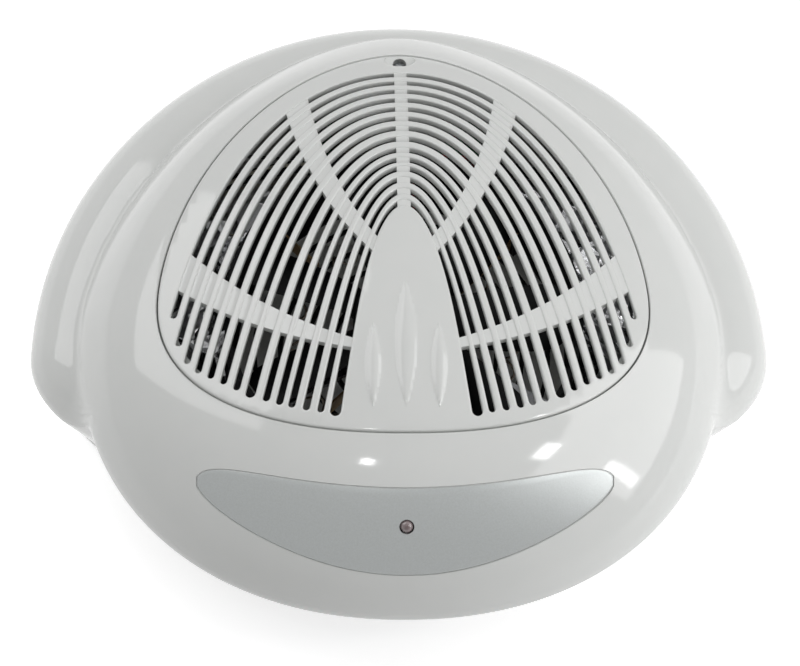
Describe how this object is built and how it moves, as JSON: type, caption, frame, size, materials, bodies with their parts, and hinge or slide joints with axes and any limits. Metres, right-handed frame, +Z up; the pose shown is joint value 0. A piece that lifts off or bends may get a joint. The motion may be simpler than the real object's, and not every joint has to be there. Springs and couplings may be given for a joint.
{
  "type": "nail polish fan dryer",
  "caption": "Domed tabletop nail polish dryer with a top intake grille, fan and heater over an open-fronted hand chamber.",
  "frame": {"origin": "centre of the overall footprint, on the table that the rubber feet stand on", "axes": "+Z up, -Y towards the open front where the hands go in, +X to the right seen from the front"},
  "size_m": [0.29, 0.266, 0.113],
  "materials": {
    "white_abs": "gloss",
    "silver_label": "satin",
    "steel": "satin",
    "led_lens": "clear",
    "circuit_board": "satin",
    "dark_nylon": "matt",
    "bright_aluminium": "bright",
    "mica": "matt",
    "heater_wire": "satin",
    "ferrite": "matt",
    "copper": "satin",
    "bronze": "satin",
    "rubber": "matt",
    "laminated_steel": "satin",
    "dark_sleeve": "gloss",
    "pale_nylon": "satin",
    "lead_jacket": "satin"
  },
  "bodies": {
    "dryer_body": {"top_cover": "white_abs", "intake_grille": "white_abs", "grille_screw": "steel", "panel_label": "silver_label", "indicator_led": "led_lens", "led_board": "circuit_board", "led_board_screws": "steel", "air_duct": "dark_nylon", "duct_screws": "steel", "outlet_guard": "dark_nylon", "guard_screws": "steel", "heat_shield": "bright_aluminium", "mica_board_a": "mica", "mica_board_b": "mica", "heater_coil": "heater_wire", "thermal_cutout": "bright_aluminium", "motor_bracket": "steel", "bracket_screws": "steel", "motor_can": "steel", "motor_end_cap": "dark_nylon", "motor_magnets": "ferrite", "motor_brushes": "copper", "upper_bearing": "bronze", "lower_bearing": "bronze", "motor_screws": "steel", "hand_chamber": "dark_nylon", "base_tray": "white_abs", "rubber_feet": "rubber", "case_screws": "steel", "power_board": "circuit_board", "board_screws": "steel", "transformer": "laminated_steel", "filter_capacitor": "dark_sleeve", "terminal_block": "pale_nylon", "switch_body": "dark_nylon", "switch_terminals": "bronze", "cord_gland": "rubber", "cord_clamp": "steel", "clamp_screws": "steel", "led_lead": "lead_jacket", "motor_lead": "lead_jacket", "heater_lead": "lead_jacket", "switch_lead": "lead_jacket"},
    "fan_rotor": {"motor_shaft": "steel", "armature": "copper", "commutator": "copper", "fan_impeller": "dark_nylon", "impeller_clip": "steel"},
    "rocker": {"switch_rocker": "dark_nylon"}
  },
  "joints": [
    {"name": "fan_spin", "type": "hinge", "parent": "dryer_body", "child": "fan_rotor", "pos_m": [0, -0.0225, 0.08], "axis": [0, 0, 1], "continuous": true},
    {"name": "rocker_tilt", "type": "hinge", "parent": "dryer_body", "child": "rocker", "pos_m": [0, 0.129, 0.032], "axis": [1, 0, 0], "range_deg": [-10, 10], "stiffness_Nm_per_rad": 0.002}
  ]
}
